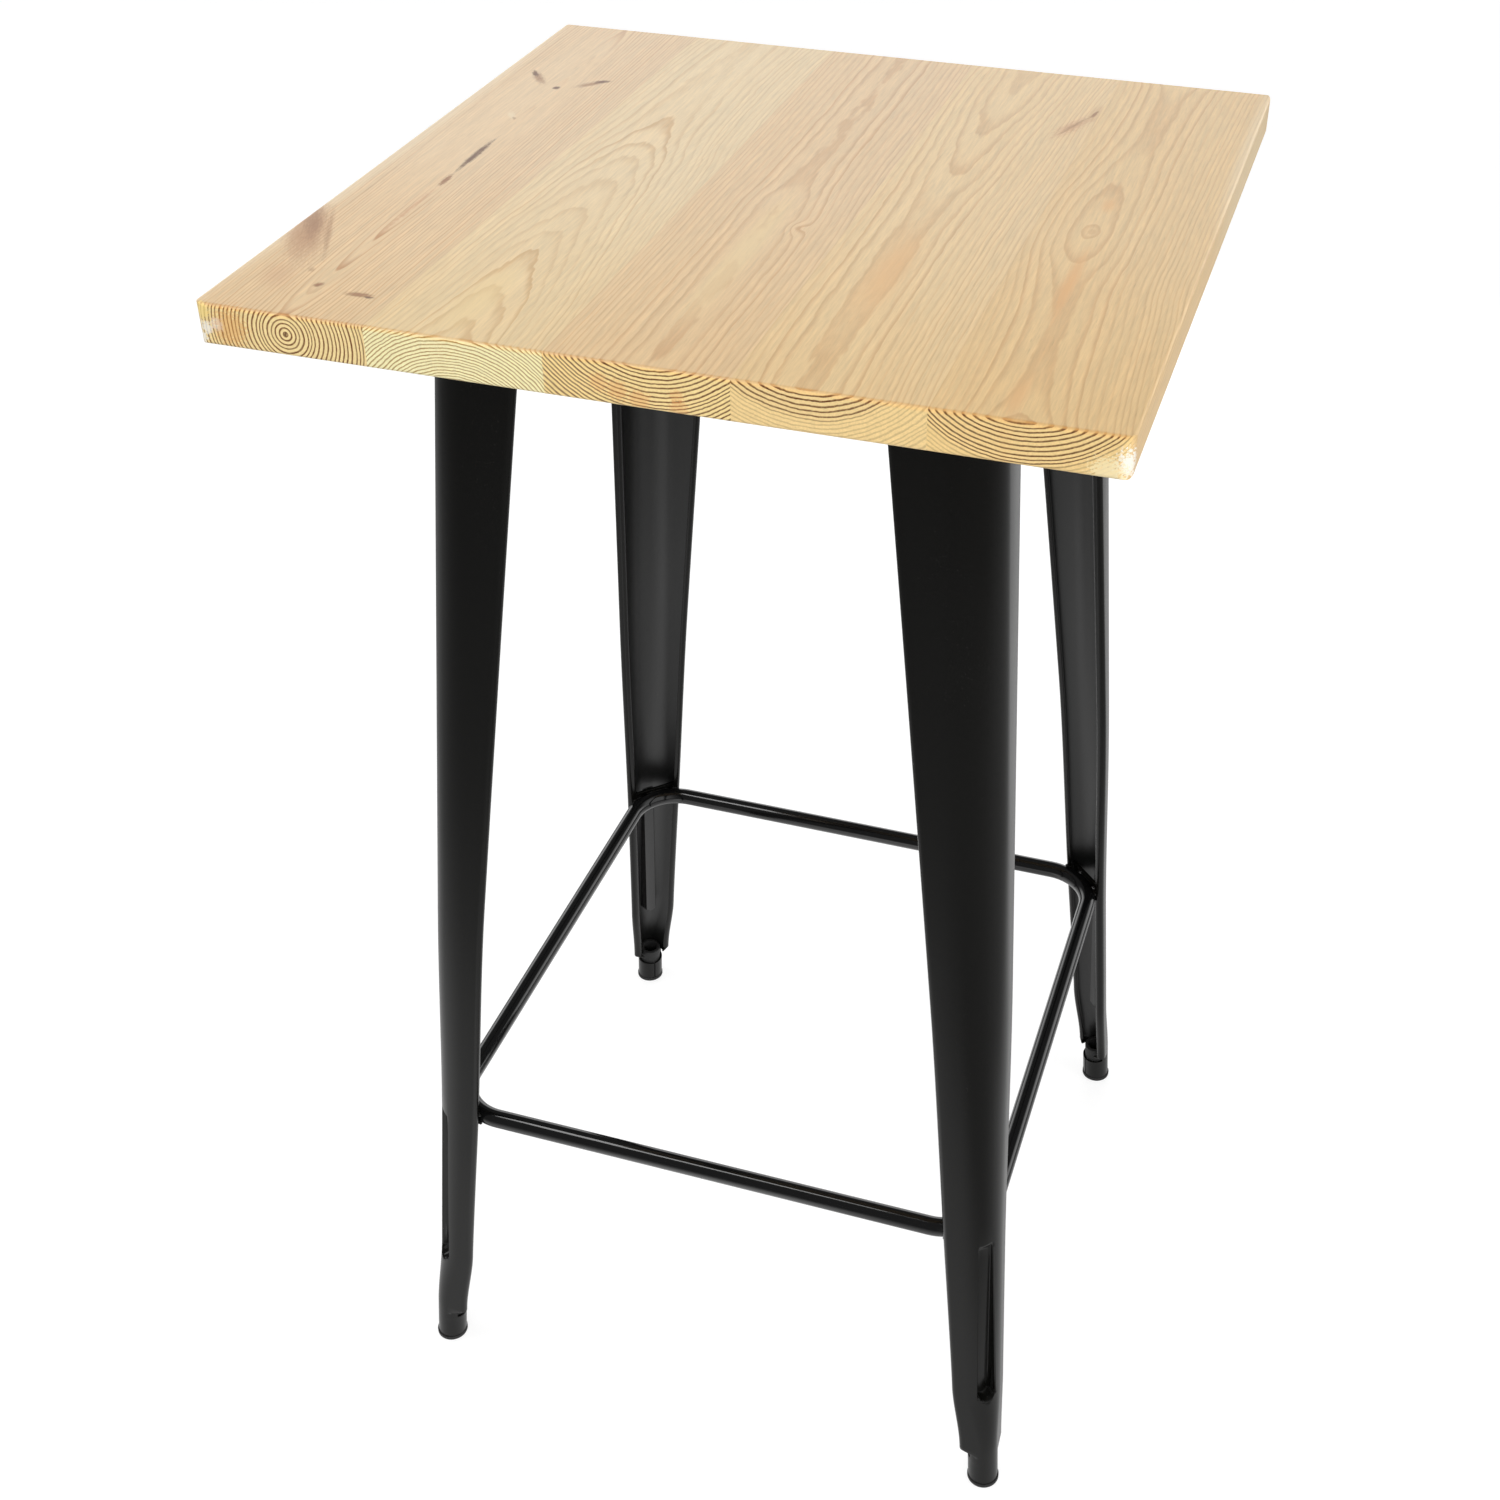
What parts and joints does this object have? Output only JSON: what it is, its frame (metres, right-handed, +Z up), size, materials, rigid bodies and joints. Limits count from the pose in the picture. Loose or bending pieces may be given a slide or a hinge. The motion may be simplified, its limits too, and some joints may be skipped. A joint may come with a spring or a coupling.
{
  "type": "pub table",
  "caption": "Tall square pub table: an edge-glued pine top on splayed legs of pressed black sheet steel, with a round-bar footrest and rubber feet",
  "frame": {"origin": "on the floor, below the middle of the square top", "axes": "+X to the right, +Y to the back, +Z up; the front of the table faces -Y and the boards of the top run front to back"},
  "size_m": [0.6, 0.6, 1.06],
  "materials": {
    "pine": "edge-glued pine boards, sanded, clear matt oil or varnish, grain along the boards and rings in the end grain",
    "black_paint": "black powder coat, smooth semi-gloss, on pressed and bent mild steel",
    "frame_paint": "black powder coat, satin, on folded steel sheet",
    "rubber": "moulded black rubber, matt",
    "zinc": "bright zinc-plated fasteners"
  },
  "bodies": {
    "root": {"top_stave_1": "pine", "top_stave_2": "pine", "top_stave_3": "pine", "top_stave_4": "pine", "top_stave_5": "pine", "leg_back_right": "black_paint", "leg_back_left": "black_paint", "leg_front_left": "black_paint", "leg_front_right": "black_paint", "foot_back_right": "rubber", "foot_back_left": "rubber", "foot_front_left": "rubber", "foot_front_right": "rubber", "footrest_back": "black_paint", "footrest_left": "black_paint", "footrest_front": "black_paint", "footrest_right": "black_paint", "bracket_back_right": "black_paint", "bracket_back_left": "black_paint", "bracket_front_left": "black_paint", "bracket_front_right": "black_paint", "rail_back": "frame_paint", "rail_left": "frame_paint", "rail_front": "frame_paint", "rail_right": "frame_paint", "corner_plate_back_right": "frame_paint", "corner_plate_back_left": "frame_paint", "corner_plate_front_left": "frame_paint", "corner_plate_front_right": "frame_paint", "leg_bolts": "zinc", "leg_bolt_washers": "zinc", "leg_bolt_nuts": "zinc", "wood_screws": "zinc"}
  },
  "joints": []
}
